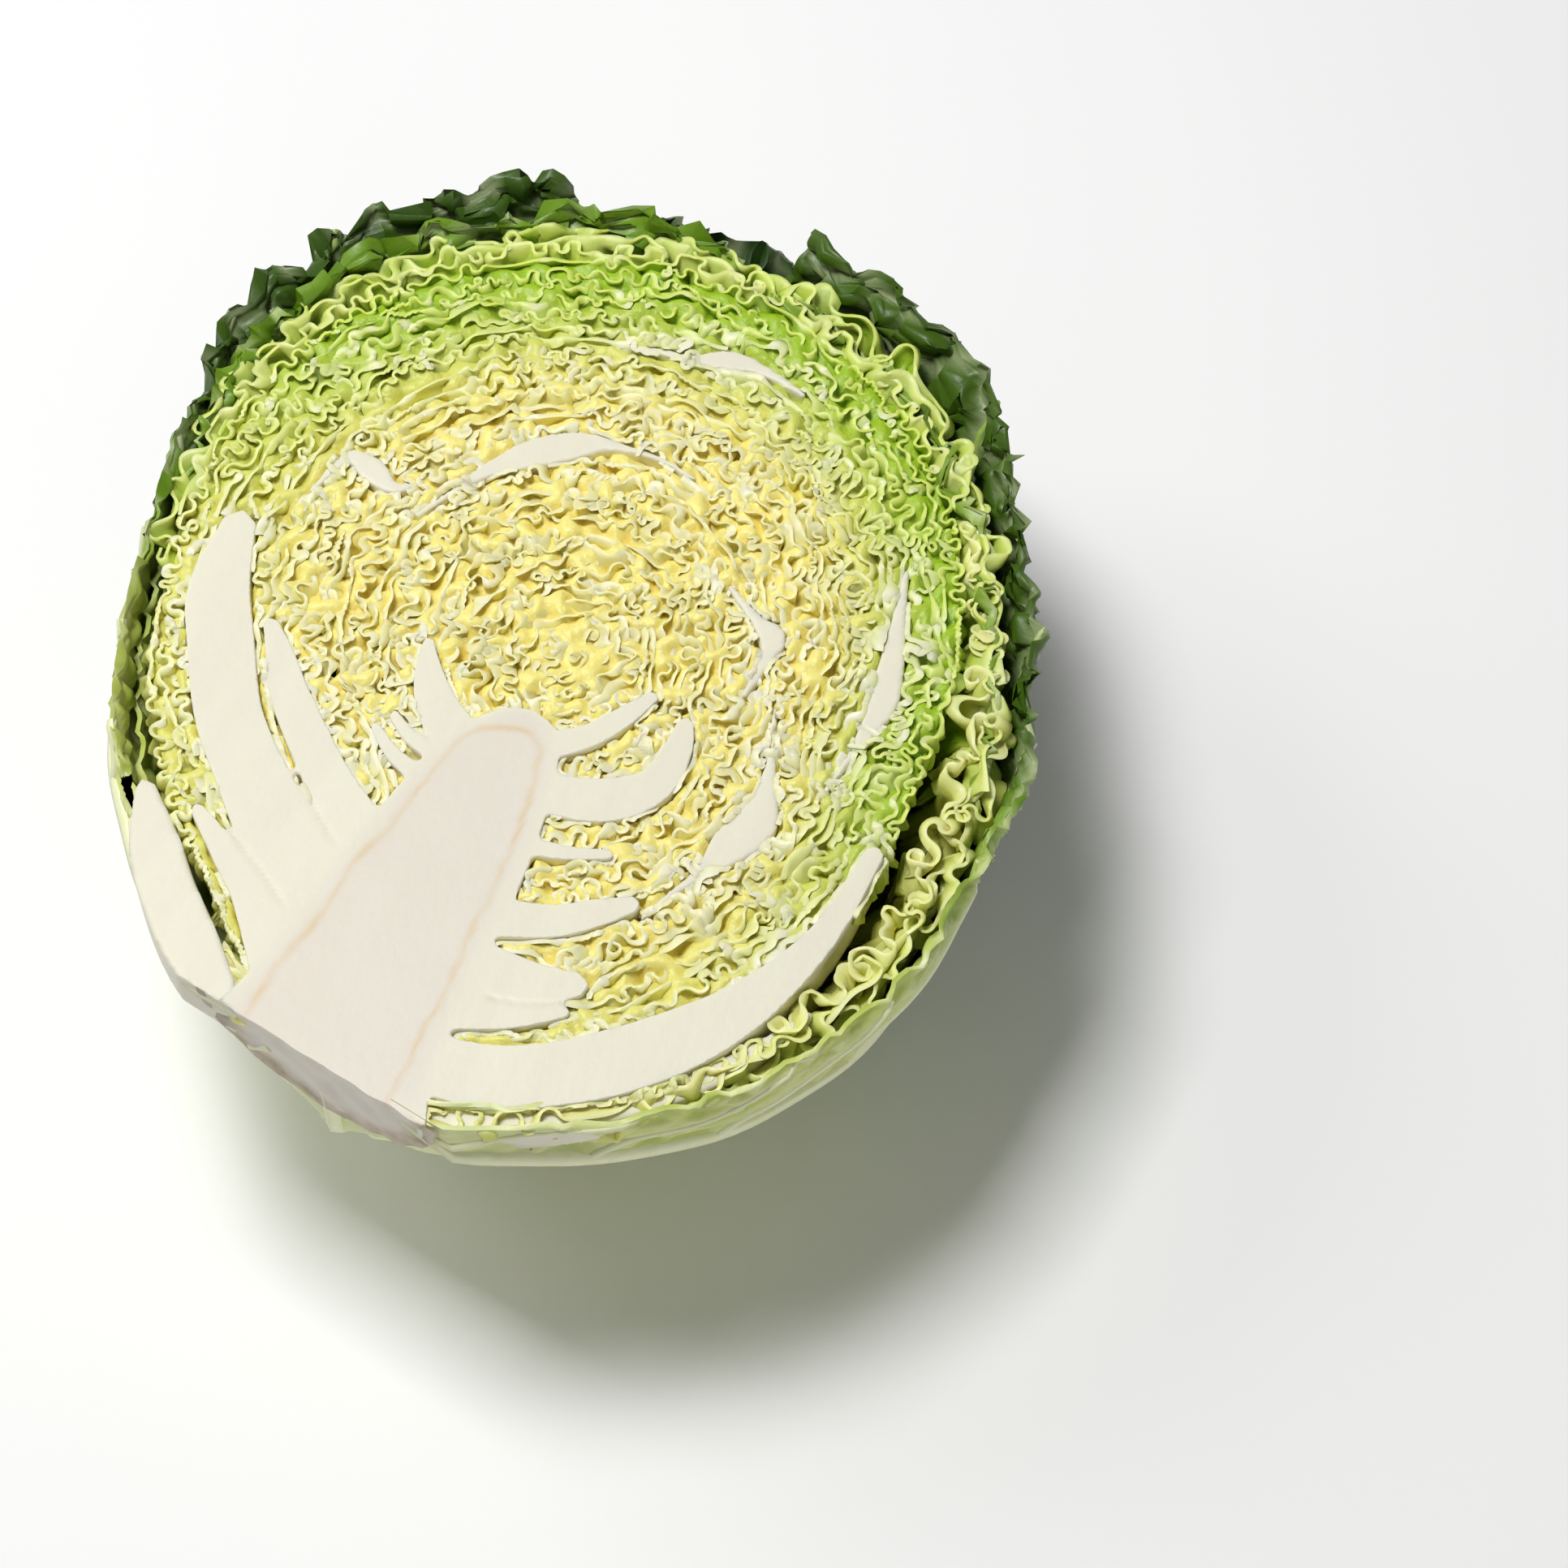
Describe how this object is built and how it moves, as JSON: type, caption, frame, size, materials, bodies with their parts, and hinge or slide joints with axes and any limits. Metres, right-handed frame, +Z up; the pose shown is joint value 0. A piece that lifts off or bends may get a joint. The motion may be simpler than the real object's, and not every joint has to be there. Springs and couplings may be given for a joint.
{
  "type": "halved savoy cabbage",
  "caption": "Half a savoy cabbage lying on its rounded back, cut face up, showing the stem, leaf ribs and tightly packed crinkled leaves inside loose green wrapper leaves.",
  "frame": {"origin": "middle of the small flat spot that the rounded back rests on", "axes": "+Z up, square to the cut face; +Y along the stem from the butt towards the tip of the head; +X to the right seen from above with the tip away"},
  "size_m": [0.1714, 0.1961, 0.076],
  "materials": {
    "core_flesh": "moist, satin",
    "heart_leaf": "satin",
    "inner_leaf": "satin",
    "outer_leaf": "satin",
    "loose_leaf": "satin",
    "wrapper_leaf": "waxy, satin"
  },
  "bodies": {
    "root": {"core_and_ribs": "core_flesh", "heart_leaves": "heart_leaf", "inner_leaves": "inner_leaf", "outer_head_leaves": "outer_leaf", "ruffled_leaf": "loose_leaf", "wrapper_inner_right": "wrapper_leaf", "wrapper_inner_left": "wrapper_leaf", "wrapper_right": "wrapper_leaf", "wrapper_left": "wrapper_leaf", "wrapper_bottom": "wrapper_leaf"}
  },
  "joints": []
}
